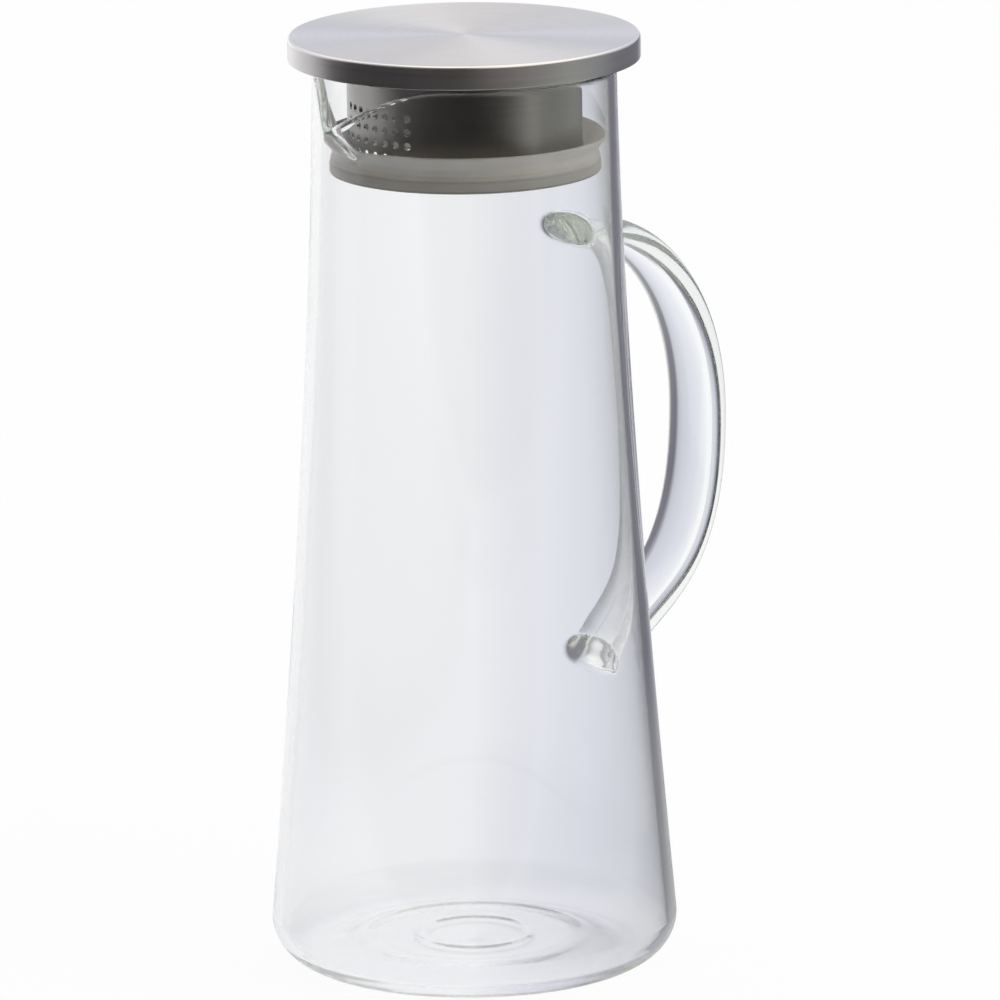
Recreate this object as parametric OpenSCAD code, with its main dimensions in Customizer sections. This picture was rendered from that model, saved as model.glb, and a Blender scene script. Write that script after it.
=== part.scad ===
// Glass pitcher with a pulled spout, a fused strap handle and a round steel lid.
// Under the lid hangs a perforated strainer drum that ends in a two-lip silicone seal.
// The origin is the middle of the standing ring, +Z is up, the handle points to +X, the spout to -X.

/* [Glass body] */
// Height of the rim above the table
rim_height = 234.7; // [217:0.1:257]
// Radius that the side would have at the table without the rounded heel
foot_radius = 53.6; // [48:0.1:60]
// Outer radius of the neck at the rim
neck_radius = 38.9; // [37.5:0.1:42]
// How hollow the side's taper is, 1 for a straight cone
side_curve = 1.47; // [1:0.01:2]
// Thickness of the glass wall
wall = 2.6; // [2:0.1:3.2]
// Outer radius of the rounded heel
heel_radius = 11; // [8:0.1:13]
// Thickness of the glass in the heel
heel_wall = 3; // [2.4:0.1:4]
// Thickness of the glass in the floor
floor_thickness = 2.8; // [2.4:0.1:5]
// Width of the flat ring that the pitcher stands on
stand_width = 1.6; // [1:0.1:3]
// Height of the kick-up in the middle of the underside
kick_up = 2.6; // [0.5:0.1:4]
// Radius of the level middle of the kick-up
kick_middle = 24; // [12:0.5:28]

/* [Spout] */
// How far the tip of the spout is pulled out past the neck
spout_reach = 10; // [6:0.1:12]
// How far the tip lies below the rim
spout_dip = 9.2; // [6:0.1:12]
// Height of the pulled zone, from the rim down
spout_height = 20; // [17:0.1:26]
// Rounding of the tip, seen from above
spout_tip_round = 1.6; // [0.8:0.1:3]

/* [Handle] */
// Height of the upper root's middle
root_top_height = 185.7; // [172:0.1:197]
// Height of the lower root's middle
root_low_height = 70.6; // [62:0.1:87]
// Distance of the strap's middle line from the pitcher's axis where it is farthest out
handle_reach = 85.1; // [78:0.1:95]
// Height of that farthest place
handle_far_height = 131; // [120:0.5:140]
// Width of the strap
strap_width = 15.6; // [12:0.1:18]
// Thickness of the strap
strap_thickness = 5.4; // [4.4:0.1:7]
// Rounding of the strap's long edges
strap_round = 1.7; // [1:0.1:2.1]
// Width of the fused patch at each root
root_width = 18; // [16:0.1:21]
// Thickness of the strap at each root, square to its run
root_thickness = 8.8; // [7:0.1:11]
// Length over which the strap swells into its root
root_flare = 15; // [10:0.5:20]

/* [Lid] */
// Diameter of the round cap
cap_diameter = 90; // [86:0.5:96]
// Height of the cap's side
cap_height = 6.1; // [4.5:0.1:9]
// Space between the rim and the cap's lower edge
cap_gap = 2; // [1:0.1:3]
// Thickness of the cap's steel
cap_steel = 0.9; // [0.7:0.1:1.4]
// Rounding of the cap's upper edge
cap_round = 0.7; // [0.4:0.05:1.2]
// Thickness of the plate that closes the cap underneath
liner_thickness = 0.8; // [0.6:0.1:1.2]
// How far that plate lies inside the cap's lower edge
liner_inset = 0.6; // [0.3:0.1:1.5]

/* [Strainer] */
// Outer radius of the drum
drum_radius = 30; // [28:0.1:31]
// Thickness of the drum's steel
drum_steel = 0.6; // [0.5:0.1:1]
// Depth of the drum below the rim
drum_depth = 24.6; // [23:0.1:30]
// Diameter of one strainer hole
hole_diameter = 2; // [1.4:0.1:2.4]
// Distance between neighbouring columns of holes, along the drum's outside
column_pitch = 3.42; // [3.2:0.01:4.5]
// Distance between neighbouring rows
row_pitch = 3.53; // [3.2:0.01:4]
// Number of holes in one row
hole_columns = 8; // [4:1:10]
// Number of rows
hole_rows = 4; // [2:1:4]
// Height of the lowest row above the drum's lower edge
hole_rise = 5.4; // [5:0.1:7]
// How far the lid sits turned from the spout's middle, in degrees
strainer_turn = 6; // [-20:0.5:20]

/* [Seal] */
// Space between the seal's upper lip and the glass where the neck is narrowest
lip_gap = 0.25; // [0.2:0.05:0.4]
// Height of the seal's body
seal_height = 6.4; // [5.5:0.1:8]
// Depth of the seal's body below the drum's lower edge
seal_drop = 2; // [1.5:0.1:3]
// Thickness of the upper lip at its edge
lip_thickness = 0.7; // [0.5:0.1:1.2]
// Running clearance between the seal and the drum
seal_play = 0.08; // [0.04:0.01:0.1]

/* [Hidden] */

// Counts of steps in the drawn curves
round_steps = 8;
side_steps = 26;
sector_steps = 32;
rise_steps = 9;
path_steps = 20;
corner_steps = 3;
$fn = 96;

// Overrun of every cut
cut = 1;
// How far the drawn spout is tucked into the turned neck at its edges, and the step there
tuck = 1;
seam = 0.03;

glass_tint = [0.86, 0.89, 0.93, 0.45];
steel_tint = [0.72, 0.71, 0.69];
dark_steel_tint = [0.42, 0.41, 0.40];
seal_tint = [0.74, 0.72, 0.69];

// Heights of the lid's parts, counted from the rim
cap_low = rim_height + cap_gap;
cap_top = cap_low + cap_height;
liner_low = cap_low + liner_inset;
drum_low = rim_height - drum_depth;
seal_low = drum_low - seal_drop;

// Outer radius of the glass at a height
function side_radius(z) =
    neck_radius + (foot_radius - neck_radius) * pow(max(0, 1 - z / rim_height), side_curve);

// The heel's arc ends level with its centre, where it meets the side
heel_centre = side_radius(heel_radius) - heel_radius;
inner_heel = heel_radius - heel_wall;
inner_heel_low = floor_thickness + inner_heel;
inner_heel_centre = side_radius(inner_heel_low) - wall - inner_heel;
rim_radius = wall / 2;
rim_centre = rim_height - rim_radius;

// The floor is of even thickness: full kick-up in its level middle, gone at the standing ring
kick_radius = min(heel_centre, inner_heel_centre) - stand_width;
kick_slope = [for (i = [0:round_steps])
    [kick_middle + (kick_radius - kick_middle) * i / round_steps, kick_up * pow(cos(90 * i / round_steps), 2)]];

outer_outline = concat(
    [[0, kick_up]],
    kick_slope,
    [for (i = [0:round_steps]) let (a = 90 * i / round_steps)
        [heel_centre + heel_radius * sin(a), heel_radius * (1 - cos(a))]],
    [for (i = [1:side_steps]) let (z = heel_radius + (rim_centre - heel_radius) * i / side_steps)
        [side_radius(z), z]]
);
inner_outline = concat(
    [for (i = [side_steps:-1:1])
        let (z = inner_heel_low + (rim_centre - inner_heel_low) * i / side_steps)
        [side_radius(z) - wall, z]],
    [for (i = [round_steps:-1:0]) let (a = 90 * i / round_steps)
        [inner_heel_centre + inner_heel * sin(a), inner_heel_low - inner_heel * cos(a)]],
    [for (i = [round_steps:-1:0]) kick_slope[i] + [0, floor_thickness]],
    [[0, kick_up + floor_thickness]]
);
rim_arc = [for (i = [1:round_steps - 1]) let (a = 180 * i / round_steps)
    [side_radius(rim_centre) - rim_radius + rim_radius * cos(a), rim_centre + rim_radius * sin(a)]];

// The spout: every level section is the neck's circle drawn out to a tip by two straight flanks
spout_low = rim_height - spout_height;
spout_tip = neck_radius + spout_reach;
// How late the tip leaves the neck on the way up, 1 for a straight crease
spout_curve = 1.4;
// How the rim falls towards the tip, 1 for a straight fall
dip_curve = 2.1;
tip_blur = spout_tip_round / spout_tip * 180 / PI;
flank_angle = acos(neck_radius / spout_tip);
sector_angle = flank_angle + 2 * tip_blur;
tuck_angle = tuck / neck_radius * 180 / PI;

function blurred(angle) = sqrt(angle * angle + tip_blur * tip_blur);
function pull(angle, v) =
    let (reach = acos(neck_radius / (neck_radius + spout_reach * pow(max(0, v), spout_curve))))
    1 / cos(max(0, reach + tip_blur - blurred(angle)));
// Share of the way along a flank from where it leaves the neck to the tip
function flank_share(angle) = tan(max(0, flank_angle + tip_blur - blurred(angle))) / tan(flank_angle);
function rim_at(angle) = rim_centre - spout_dip * pow(flank_share(angle), dip_curve);
function lip_height(angle, v) = v < 0 ? spout_low - tuck : spout_low + v * (rim_at(angle) - spout_low);
function lip_outer(angle, v) = side_radius(lip_height(angle, v)) * pull(angle, v) - seam;
function lip_inner(angle, v) = (side_radius(lip_height(angle, v)) - wall) * pull(angle, v) + seam;
function lip_section(angle) =
    let (
        middle = (lip_outer(angle, 1) + lip_inner(angle, 1)) / 2,
        half = (lip_outer(angle, 1) - lip_inner(angle, 1)) / 2
    )
    concat(
        [for (i = [-1:rise_steps]) [lip_outer(angle, i / rise_steps), lip_height(angle, i / rise_steps)]],
        [for (i = [1:round_steps - 1]) let (a = 180 * i / round_steps)
            [middle + half * cos(a), rim_at(angle) + (rim_radius - seam) * sin(a)]],
        [for (i = [rise_steps:-1:-1]) [lip_inner(angle, i / rise_steps), lip_height(angle, i / rise_steps)]]
    );

// The handle's middle line: two cubic curves that meet where it is farthest out
top_lead = 9.9;
top_rise = 2.7;
far_lead_up = 41.2;
far_lead_down = 46.6;
low_lead = 12.3;
low_rise = 13.4;
// How far the strap's blank reaches into the body before it is cut to the glass
root_sink = 9;
// Rounding of the strap's edges at a root, as a share of the thickness there
root_round_share = 0.45;
root_top = [side_radius(root_top_height), root_top_height];
root_low = [side_radius(root_low_height), root_low_height];
far_point = [handle_reach, handle_far_height];
upper_curve = [root_top, root_top + [top_lead, top_rise], far_point + [0, far_lead_up], far_point];
lower_curve = [far_point, far_point - [0, far_lead_down], root_low + [low_lead, low_rise], root_low];

function cubic(p, s) =
    pow(1 - s, 3) * p[0] + 3 * pow(1 - s, 2) * s * p[1] + 3 * (1 - s) * s * s * p[2] + pow(s, 3) * p[3];
function cubic_slope(p, s) =
    pow(1 - s, 2) * (p[1] - p[0]) + 2 * (1 - s) * s * (p[2] - p[1]) + s * s * (p[3] - p[2]);
function unit(v) = v / norm(v);

// Each station is a middle point and the direction of the run there
stations = concat(
    [[root_top - root_sink * unit([top_lead, top_rise]), unit([top_lead, top_rise])]],
    [for (i = [0:path_steps - 1]) let (s = i / path_steps)
        [cubic(upper_curve, s), unit(cubic_slope(upper_curve, s))]],
    [for (i = [0:path_steps]) let (s = i / path_steps)
        [cubic(lower_curve, s), unit(cubic_slope(lower_curve, s))]],
    [[root_low - root_sink * unit([low_lead, low_rise]), -unit([low_lead, low_rise])]]
);

function swell(p) =
    pow(max(0, 1 - min(norm(p - root_top), norm(p - root_low)) / root_flare), 2);
function strap_outline(half_wide, half_thick, corner) = [
    for (q = [0:3], i = [0:corner_steps])
        let (
            a = 90 * (q + i / corner_steps),
            side = (q == 0 || q == 3) ? 1 : -1,
            face = q < 2 ? 1 : -1
        )
        [side * (half_wide - corner) + corner * cos(a), face * (half_thick - corner) + corner * sin(a)]
];
function strap_ring(station) =
    let (
        p = station[0],
        run = station[1],
        w = strap_width + (root_width - strap_width) * swell(p),
        t = strap_thickness + (root_thickness - strap_thickness) * swell(p),
        round_here = strap_round + (root_round_share * t - strap_round) * swell(p)
    )
    [for (q = strap_outline(w / 2, t / 2, round_here)) [p[0] - run[1] * q[1], q[0], p[1] + run[0] * q[1]]];

// Faces of a tube of rings that all have the same number of points, its two ends zigzagged
function zigzag(i, points) = i % 2 == 0 ? i / 2 : points - (i + 1) / 2;
function cap_strip(points) = [
    for (i = [0:points - 3])
        let (a = zigzag(i, points), b = zigzag(i + 1, points), c = zigzag(i + 2, points))
        i % 2 == 0 ? [a, c, b] : [a, b, c]
];
function tube_faces(rings, points) = concat(
    cap_strip(points),
    [for (i = [0:rings - 2], j = [0:points - 1])
        let (a = i * points, b = a + points, k = (j + 1) % points)
        each [[a + j, b + j, a + k], [a + k, b + j, b + k]]],
    [for (f = cap_strip(points)) [for (i = [2:-1:0]) f[i] + (rings - 1) * points]]
);
function joined(lists) = [for (list = lists) each list];

module sector(half_angle, radius, low, high) {
    far = radius / cos(half_angle / 2);
    translate([0, 0, low])
        linear_extrude(high - low)
            polygon([
                [0, 0],
                for (i = [-2:2]) let (a = 180 + half_angle * i / 2) [far * cos(a), far * sin(a)]
            ]);
}

module spout_lip() {
    sections = [
        for (i = [0:sector_steps])
            let (angle = (sector_angle + tuck_angle) * (1 - 2 * i / sector_steps))
            [for (q = lip_section(angle)) [-q[0] * cos(angle), -q[0] * sin(angle), q[1]]]
    ];
    polyhedron(joined(sections), tube_faces(sector_steps + 1, len(sections[0])));
}

module glass_body() {
    color(glass_tint) {
        difference() {
            rotate_extrude()
                polygon(concat(outer_outline, rim_arc, inner_outline));
            sector(sector_angle, spout_tip + cut, spout_low, rim_height + cut);
        }
        spout_lip();
    }
}

// The body's outside as one solid, which cuts the handle to the glass
module body_outside() {
    rotate_extrude()
        polygon(concat(outer_outline, [[0, rim_centre]]));
}

module glass_handle() {
    rings = [for (s = stations) strap_ring(s)];
    color(glass_tint)
        difference() {
            polyhedron(joined(rings), tube_faces(len(rings), len(rings[0])));
            body_outside();
        }
}

module lid_cap() {
    cap_radius = cap_diameter / 2;
    color(steel_tint)
        rotate_extrude()
            polygon(concat(
                [[0, cap_top - cap_steel], [cap_radius - cap_steel, cap_top - cap_steel]],
                [[cap_radius - cap_steel, cap_low], [cap_radius, cap_low]],
                [for (i = [0:round_steps]) let (a = 90 * i / round_steps)
                    [cap_radius - cap_round * (1 - cos(a)), cap_top - cap_round * (1 - sin(a))]],
                [[0, cap_top]]
            ));
}

module lid_liner() {
    color(steel_tint)
        translate([0, 0, liner_low])
            cylinder(r = cap_diameter / 2 - cap_steel, h = liner_thickness);
}

// The drum's lower edge is rolled outwards into a bead that the seal holds
bead_radius = 2 * drum_steel;
bead_ring = drum_radius;
bead_height = drum_low + bead_radius;

module strainer_drum() {
    hole_turn = column_pitch / drum_radius * 180 / PI;
    color(dark_steel_tint)
        difference() {
            union() {
                translate([0, 0, bead_height])
                    cylinder(r = drum_radius, h = liner_low - bead_height);
                rotate_extrude()
                    translate([bead_ring, bead_height])
                        circle(bead_radius);
            }
            translate([0, 0, drum_low - cut])
                cylinder(r = drum_radius - drum_steel, h = liner_low - drum_low + 2 * cut);
            for (row = [0:hole_rows - 1], column = [0:hole_columns - 1])
                rotate([0, 0, 180 - strainer_turn + hole_turn * (column - (hole_columns - 1) / 2)])
                    translate([drum_radius / 2, 0, drum_low + hole_rise + row_pitch * row])
                        rotate([0, 90, 0])
                            cylinder(d = hole_diameter, h = drum_radius, $fn = 24);
        }
}

module seal_ring() {
    lip_radius = neck_radius - wall - lip_gap;
    foot_radius_in = drum_radius - bead_radius - seal_play;
    seal_top = seal_low + seal_height;
    lip_top = seal_top + seal_height / 2;
    low_lip_radius = lip_radius - lip_thickness * 2;
    waist_radius = low_lip_radius - lip_thickness;
    color(seal_tint)
        difference() {
            rotate_extrude()
                polygon([
                    [foot_radius_in, seal_low],
                    [low_lip_radius - lip_thickness, seal_low],
                    [low_lip_radius, seal_low + lip_thickness],
                    [low_lip_radius, seal_low + seal_height / 2],
                    [waist_radius, seal_low + seal_height / 2 + lip_thickness],
                    [waist_radius, seal_top - lip_thickness],
                    [lip_radius, lip_top - lip_thickness],
                    [lip_radius, lip_top],
                    [lip_radius - lip_thickness, lip_top],
                    [waist_radius - lip_thickness, seal_top],
                    [foot_radius_in, seal_top]
                ]);
            translate([0, 0, bead_height])
                cylinder(r = drum_radius + seal_play, h = seal_height + cut);
            rotate_extrude()
                translate([bead_ring, bead_height])
                    circle(bead_radius + seal_play);
        }
}

glass_body();
glass_handle();
lid_cap();
lid_liner();
strainer_drum();
seal_ring();
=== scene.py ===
"""Dresses a packed glass pitcher: fused glass, a brushed steel lid, a perforated drum and a silicone seal."""

import math
from contextlib import contextmanager

import bmesh
import bpy
import numpy as np
from mathutils import Matrix, Vector


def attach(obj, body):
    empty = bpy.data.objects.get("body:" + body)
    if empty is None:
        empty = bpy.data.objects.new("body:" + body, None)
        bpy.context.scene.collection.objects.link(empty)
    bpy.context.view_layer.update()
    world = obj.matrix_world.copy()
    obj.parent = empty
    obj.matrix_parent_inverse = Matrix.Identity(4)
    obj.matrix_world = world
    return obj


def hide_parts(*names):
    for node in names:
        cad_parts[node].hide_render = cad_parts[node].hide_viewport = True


bl_info = {
    "name": "Glass pitcher with strainer lid",
    "version": (1, 0, 0),
    "blender": (4, 5, 0),
    "location": "View3D > Sidebar > Pitcher",
    "description": "Builds the glass, the steel lid, the seal and the studio of a glass pitcher",
    "category": "Object",
}

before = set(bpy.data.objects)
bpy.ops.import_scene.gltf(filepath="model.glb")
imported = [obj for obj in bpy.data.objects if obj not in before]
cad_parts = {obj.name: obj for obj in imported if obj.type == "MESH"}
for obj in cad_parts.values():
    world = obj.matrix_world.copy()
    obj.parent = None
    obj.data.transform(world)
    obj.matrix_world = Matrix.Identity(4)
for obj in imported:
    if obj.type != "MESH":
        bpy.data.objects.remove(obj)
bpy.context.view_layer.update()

# The distance within which corners are merged.
MERGE = 2e-6
# The part of a noise's values that a material spreads over its own range.
NOISE_RANGE = (0.35, 0.65)

# Steps between the level rings of the glass: usual, near a root, and in the spout.
USUAL_STEP = 0.0044
ROOT_STEP = 0.0012
SPOUT_STEP = 0.0008
# The height above and below a root that has the finer rings, and how far the spout's begin below it.
ROOT_ZONE = 0.0115
SPOUT_MARGIN = 0.0005
# Steps of the glass's section: level middle, kick-up, outer heel, lip and inner heel.
MIDDLE_STEPS = 40
KICK_STEPS = 20
HEEL_STEPS = 26
LIP_STEPS = 14
INNER_HEEL_STEPS = 40
# Steps of the cap and of the thinner rings round their axis.
CAP_STEPS = 256
RING_STEPS = 192
# How much closer the glass's columns stand at the spout than at the handle.
SPOUT_CROWDING = 0.35
# The pressed line round the inner heel: its depth, and its place and width as angles down the heel.
HEEL_LINE = (0.00016, math.radians(38), math.radians(9))
# The floor's pressed rings: radius, width and height of each.
FLOOR_RINGS = ((0.0142, 0.0016, 0.00026), (0.0285, 0.0020, 0.00022), (0.0, 0.0060, 0.00020))

# Pulls on the strap's middle line: outwards and upwards at its roots, up and down at its farthest place.
TOP_PULL = (0.0099, 0.0027)
LOW_PULL = (0.0123, 0.0134)
FAR_PULL_UP = 0.0412
FAR_PULL_DOWN = 0.0466
# How far the strap itself stops short of its upper and lower root, where the melted glass takes over.
TOP_GAP = 0.003
LOW_GAP = 0.007
# How oval the strap is, as a part of a full oval: at least, and how fast it gets so towards a root.
LEAST_OVAL = 0.48
OVAL_GAIN = 1.6
# How far ahead the strap's end looks for the wall, and how often it halves that way.
WALL_SEARCH = 0.03
WALL_HALVINGS = 40
# The melted root: its rings, how far each curve leans to the wall, and how deep its end lies in the glass.
MELT_RINGS = 9
MELT_LEAN = 0.62
MELT_SPREAD = 0.25
MELT_TUCK = 0.0003
MELT_NARROW = 0.6
MELT_DEPTH = 0.0012
MELT_HUB = 0.0014
# The zone of the seams between roots and wall: least X, greatest Y, distance from the wall, least angle.
SEAM_X = 0.03
SEAM_Y = 0.016
SEAM_GAP = 0.0004
SEAM_ANGLE = math.radians(7)

# Each lamp's place to the right of the pitcher, in front of it and above the table, its size and its power.
LAMPS = {"key": (1.5, 0.7, 0.9, 0.9, 11.0), "back": (-0.4, -1.1, 1.6, 1.2, 6.0)}
# The height of the point that the lamps look at, half the table's side, and the table's height.
LAMP_TARGET = 0.12
TABLE_REACH = 6.0
TABLE_TOP = -0.0004

# The upward parts of a direction over which the room turns from table to wall, and so on upwards.
TO_WALL = (0.02, 0.16)
TO_UPPER = (0.30, 0.75)
TO_CEILING = (0.86, 0.95)
TO_SOFT_CEILING = (0.60, 0.95)
# The part of the ceiling's colour that lights matte pieces, and of the table's own glow that the camera sees.
SOFT_CEILING = 0.7
TABLE_GLOW = 0.96
# The table near the foot, as metal mirrors it: its middle to the right and in front, and where it fades.
FOOT_MIDDLE = (0.10, -0.06)
FOOT_FADE = (0.15, 0.29)
# The point in front of the axis round which glass shows the table's bearings, and where they fade in.
POLE = 0.25
POLE_FADE = (0.20, 0.36)

# The room by bearing: degrees to the right of straight behind the pitcher, each with a linear colour, from
# -180 on; the colour at 180 is that at -180.
# Metal mirrors the first four: the table far off and near the foot, the walls, and what hangs above.
MIRRORED_LOW = [
    (-180, (0.020, 0.018, 0.022)),
    (-120, (0.018, 0.016, 0.018)),
    (-84, (0.020, 0.018, 0.020)),
    (-62, (0.56, 0.54, 0.55)),
    (-30, (0.97, 0.97, 0.98)),
    (6, (0.84, 0.85, 0.88)),
    (26, (0.13, 0.13, 0.16)),
    (60, (0.11, 0.11, 0.115)),
    (85, (0.20, 0.215, 0.22)),
    (105, (0.24, 0.25, 0.24)),
    (150, (0.048, 0.043, 0.045)),
]
MIRRORED_TABLE = [
    (-180, (0.86, 0.86, 0.87)),
    (-84, (0.84, 0.84, 0.86)),
    (-30, (0.97, 0.97, 0.98)),
    (6, (0.86, 0.87, 0.88)),
    (24, (0.34, 0.34, 0.34)),
    (60, (0.46, 0.48, 0.43)),
    (85, (0.62, 0.65, 0.58)),
    (105, (0.56, 0.58, 0.54)),
    (140, (0.60, 0.60, 0.60)),
]
MIRRORED_MIDDLE = [
    (-180, (0.045, 0.034, 0.030)),
    (-130, (0.020, 0.018, 0.018)),
    (-100, (0.030, 0.028, 0.030)),
    (-70, (0.56, 0.54, 0.58)),
    (-40, (0.72, 0.73, 0.77)),
    (-15, (0.66, 0.67, 0.73)),
    (5, (0.69, 0.705, 0.78)),
    (25, (0.58, 0.60, 0.69)),
    (50, (0.42, 0.43, 0.50)),
    (85, (0.27, 0.27, 0.28)),
    (130, (0.15, 0.136, 0.14)),
]
MIRRORED_HIGH = [
    (-180, (0.16, 0.15, 0.14)),
    (-110, (0.34, 0.33, 0.34)),
    (-50, (0.92, 0.90, 0.91)),
    (0, (1.0, 1.0, 1.0)),
    (50, (1.0, 1.0, 1.0)),
    (100, (1.0, 0.97, 0.92)),
    (145, (0.96, 0.90, 0.83)),
]
# This one lights matte pieces.
SOFT = [
    (-180, (0.12, 0.12, 0.13)),
    (-110, (0.10, 0.10, 0.12)),
    (-50, (0.36, 0.36, 0.40)),
    (10, (0.70, 0.70, 0.72)),
    (40, (1.0, 0.98, 0.95)),
    (145, (1.0, 0.97, 0.91)),
    (165, (0.34, 0.33, 0.32)),
]
# Glass shows these: SEEN_CLEAR straight, and SEEN after a mirror. Both share what is behind the pitcher.
BEHIND = [
    (-30, (0.98, 0.985, 1.0)),
    (-1.5, (0.98, 0.985, 1.0)),
    (0.3, (0.925, 0.935, 0.965)),
    (2, (0.85, 0.86, 0.915)),
    (5, (0.765, 0.775, 0.86)),
    (8, (0.645, 0.655, 0.735)),
    (12, (0.40, 0.41, 0.46)),
    (16, (0.19, 0.185, 0.225)),
    (29, (0.20, 0.195, 0.230)),
    (38, (0.52, 0.535, 0.50)),
]
SEEN = [
    (-180, (0.045, 0.042, 0.042)),
    (-110, (0.085, 0.078, 0.085)),
    (-84, (0.24, 0.24, 0.24)),
    (-74, (0.90, 0.90, 0.90)),
    (-64, (0.98, 0.985, 1.0)),
    *BEHIND,
    (60, (0.50, 0.52, 0.49)),
    (80, (0.45, 0.46, 0.45)),
    (94, (0.42, 0.43, 0.41)),
    (108, (0.62, 0.62, 0.59)),
    (117, (0.90, 0.90, 0.86)),
    (124, (0.22, 0.21, 0.21)),
    (136, (0.045, 0.042, 0.042)),
]
SEEN_CLEAR = [
    (-180, (0.95, 0.955, 0.965)),
    (-84, (0.95, 0.955, 0.965)),
    *BEHIND,
    (60, (0.86, 0.87, 0.87)),
    (85, (0.95, 0.955, 0.96)),
]


def length(label, value, about):
    """A property that holds a length in metres."""
    return bpy.props.FloatProperty(name=label, description=about, default=value, unit="LENGTH", precision=5)


def share(label, value, about, high=1.0):
    """A property that holds a plain number from 0 to a limit."""
    return bpy.props.FloatProperty(name=label, description=about, default=value, min=0.0, max=high)


def count(label, value, about):
    """A property that holds a number of steps or pieces."""
    return bpy.props.IntProperty(name=label, description=about, default=value, min=1)


def colour(label, value, about):
    """A property that holds a linear colour."""
    return bpy.props.FloatVectorProperty(
        name=label, description=about, default=value, size=3, min=0.0, max=1.0, subtype="COLOR"
    )


def angle(label, value, about):
    """A property that holds an angle, shown in degrees."""
    return bpy.props.FloatProperty(
        name=label, description=about, default=math.radians(value), subtype="ANGLE", unit="ROTATION"
    )


class PitcherGlassSizes(bpy.types.PropertyGroup):
    """Sizes of the blown glass body and of its pulled spout."""

    rim_height: length("Rim height", 0.2347, "Height of the rim above the table")
    foot_radius: length("Foot radius", 0.0536, "Radius that the side would have at the table")
    neck_radius: length("Neck radius", 0.0389, "Outer radius of the neck at the rim")
    side_curve: share("Side curve", 1.47, "How hollow the side's taper is", 3.0)
    wall: length("Wall", 0.0026, "Thickness of the glass wall")
    heel_radius: length("Heel radius", 0.0110, "Outer radius of the rounded heel")
    heel_wall: length("Heel wall", 0.0030, "Thickness of the glass in the heel")
    floor_thickness: length("Floor thickness", 0.0028, "Thickness of the glass in the floor")
    stand_width: length("Standing ring", 0.0016, "Width of the flat ring it stands on")
    kick_up: length("Kick-up", 0.0026, "Rise of the underside in the middle")
    kick_middle: length("Level middle", 0.0240, "Radius of the level middle of the kick-up")
    spout_reach: length("Spout reach", 0.0100, "How far the tip is pulled past the neck")
    spout_dip: length("Spout dip", 0.0092, "How far the tip lies below the rim")
    spout_height: length("Spout height", 0.0200, "Height of the pulled zone")
    tip_round: length("Tip rounding", 0.0016, "Rounding of the tip, seen from above")
    spout_curve: share("Spout curve", 1.4, "How late the tip leaves the neck on the way up", 3.0)
    dip_curve: share("Dip curve", 2.1, "How the rim falls towards the tip", 3.0)
    turn_steps: count("Steps round", 288, "Steps of the body round its axis")


class PitcherHandleSizes(bpy.types.PropertyGroup):
    """Sizes of the pulled glass strap and of its fused roots."""

    root_top: length("Upper root", 0.1857, "Height of the upper root")
    root_low: length("Lower root", 0.0706, "Height of the lower root")
    reach: length("Reach", 0.0846, "Distance of the middle line from the axis where it is farthest")
    far_height: length("Far height", 0.1310, "Height of the farthest place")
    width: length("Strap width", 0.0186, "Width of the strap")
    thickness: length("Strap thickness", 0.0064, "Thickness of the strap")
    edge_round: length("Edge rounding", 0.0017, "Rounding of the strap's long edges")
    root_width: length("Root width", 0.0198, "Width of the strap at its roots")
    root_thickness: length("Root thickness", 0.0088, "Thickness of the strap at its roots")
    flare: length("Flare", 0.0150, "Length over which the strap swells into a root")
    fillet: length("Fused edge", 0.0018, "How far the melted edge spreads over the wall")
    path_steps: count("Steps along", 150, "Steps along the strap")


class PitcherLidSizes(bpy.types.PropertyGroup):
    """Sizes of the steel cap."""

    radius: length("Cap radius", 0.0450, "Radius of the round cap")
    low: length("Lower edge", 0.2367, "Height of the cap's lower edge")
    top: length("Top", 0.2428, "Height of the cap's top")
    steel: length("Steel", 0.0009, "Thickness of the cap's steel")
    edge_round: length("Edge rounding", 0.0009, "Rounding of the upper edge")
    hem_round: length("Hem rounding", 0.0003, "Rounding of the lower edge")


class PitcherStrainerSizes(bpy.types.PropertyGroup):
    """Sizes of the strainer drum and of its field of holes."""

    radius: length("Drum radius", 0.0300, "Outer radius of the drum")
    steel: length("Steel", 0.0006, "Thickness of the drum's steel")
    low: length("Lower edge", 0.2101, "Height of the drum's lower edge")
    top: length("Top", 0.2373, "Height at which the drum meets the plate above it")
    bead: length("Bead radius", 0.0012, "Radius of the rolled lower edge")
    hole_radius: length("Hole radius", 0.0010, "Radius of one strainer hole")
    column_pitch: length("Column pitch", 0.00342, "Distance between columns along the outside")
    row_pitch: length("Row pitch", 0.00353, "Distance between rows")
    columns: count("Columns", 8, "Holes in one row")
    rows: count("Rows", 4, "Rows of holes")
    hole_rise: length("Hole rise", 0.0054, "Height of the lowest row above the lower edge")
    turn: angle("Turn", 174.0, "Direction of the middle of the field of holes")


class PitcherSealSizes(bpy.types.PropertyGroup):
    """Sizes of the two-lip seal."""

    low: length("Lower edge", 0.2081, "Height of the seal's lower edge")
    height: length("Height", 0.0064, "Height of the seal's body")
    inner_radius: length("Inner radius", 0.02872, "Radius of the opening under the drum")
    drum_fit: length("Fit", 0.03008, "Radius at which the seal meets the drum's wall")
    low_lip: length("Lower lip", 0.03465, "Radius of the lower lip")
    waist: length("Waist", 0.03395, "Radius of the groove between the lips")
    high_lip: length("Upper lip", 0.03605, "Radius of the upper lip")


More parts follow.
